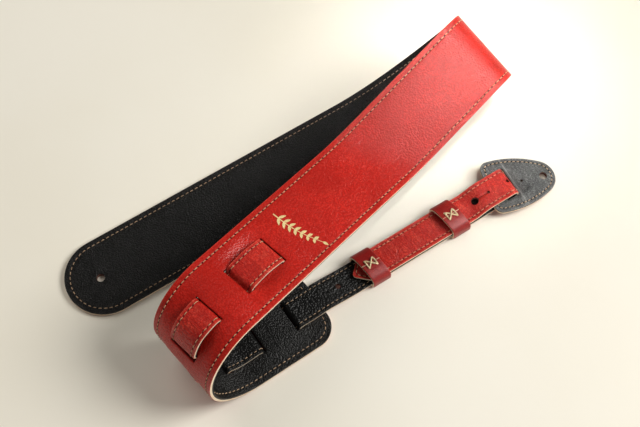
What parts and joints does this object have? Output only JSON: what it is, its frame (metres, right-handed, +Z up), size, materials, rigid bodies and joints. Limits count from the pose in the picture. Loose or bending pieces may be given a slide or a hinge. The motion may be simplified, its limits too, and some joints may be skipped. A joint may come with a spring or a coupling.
{
  "type": "guitar strap",
  "caption": "Wide two-layer leather guitar strap folded back on itself, with a narrow adjuster laced through slots, sliding keepers and a stitched end tab.",
  "frame": {"origin": "centre of the front button hole on the underside of the strap's front leg, on the table plane", "axes": "+Z up off the table and along the button hole's axis; +X to the right of the view the part was built from; +Y away from the viewer across the table"},
  "size_m": [0.3898, 0.3133, 0.0861],
  "materials": {
    "face_leather": "smooth grained red leather, satin",
    "lining_leather": "pebbled black lining leather, satin",
    "tab_lining_leather": "smooth dark grey lining leather, scuffed",
    "keeper_leather": "darker red leather, satin, pale cut edge",
    "thread": "waxed tan cream sewing thread",
    "lacing_cord": "cream lacing cord"
  },
  "bodies": {
    "front_leg": {"main_face_front": "face_leather", "main_lining_front": "lining_leather", "main_needle_thread_front": "thread", "main_bobbin_thread_front": "thread"},
    "shoulder": {"main_face_rear": "face_leather", "main_lining_rear": "lining_leather", "main_needle_thread_rear": "thread", "main_bobbin_thread_rear": "thread", "adjuster_face_woven": "face_leather", "adjuster_lining_woven": "lining_leather", "adjuster_needle_thread_woven": "thread", "adjuster_bobbin_thread_woven": "thread"},
    "adjuster_run": {"adjuster_face_run": "face_leather", "adjuster_lining_run": "lining_leather", "adjuster_needle_thread_run": "thread", "adjuster_bobbin_thread_run": "thread"},
    "lower_keeper": {"lower_keeper_band": "keeper_leather", "lower_keeper_lacing": "lacing_cord"},
    "upper_keeper": {"upper_keeper_band": "keeper_leather", "upper_keeper_lacing": "lacing_cord"},
    "end_tab": {"tab_face": "face_leather", "tab_lining": "tab_lining_leather", "tab_needle_thread": "thread", "tab_bobbin_thread": "thread"}
  },
  "joints": [
    {"name": "fold_hinge", "type": "hinge", "parent": "front_leg", "child": "shoulder", "pos_m": [0.30214, 0.18415, 0.04493], "axis": [-0.6565, 0.7126, 0.2472], "range_deg": [0, 100]},
    {"name": "adjuster_flex", "type": "hinge", "parent": "shoulder", "child": "adjuster_run", "pos_m": [0.1744, -0.01465, 0.00634], "axis": [0.5412, -0.8409, 0], "range_deg": [0, 12]},
    {"name": "lower_keeper_slide", "type": "slide", "parent": "adjuster_run", "child": "lower_keeper", "axis": [0.8409, 0.5412, 0], "range_m": [-0.006, 0.025]},
    {"name": "upper_keeper_slide", "type": "slide", "parent": "adjuster_run", "child": "upper_keeper", "axis": [0.8409, 0.5412, 0], "range_m": [-0.025, 0.005]},
    {"name": "tab_swivel", "type": "hinge", "parent": "adjuster_run", "child": "end_tab", "pos_m": [0.31901, 0.07838, 0.00688], "axis": [0, 0, 1], "range_deg": [0, 16]}
  ]
}
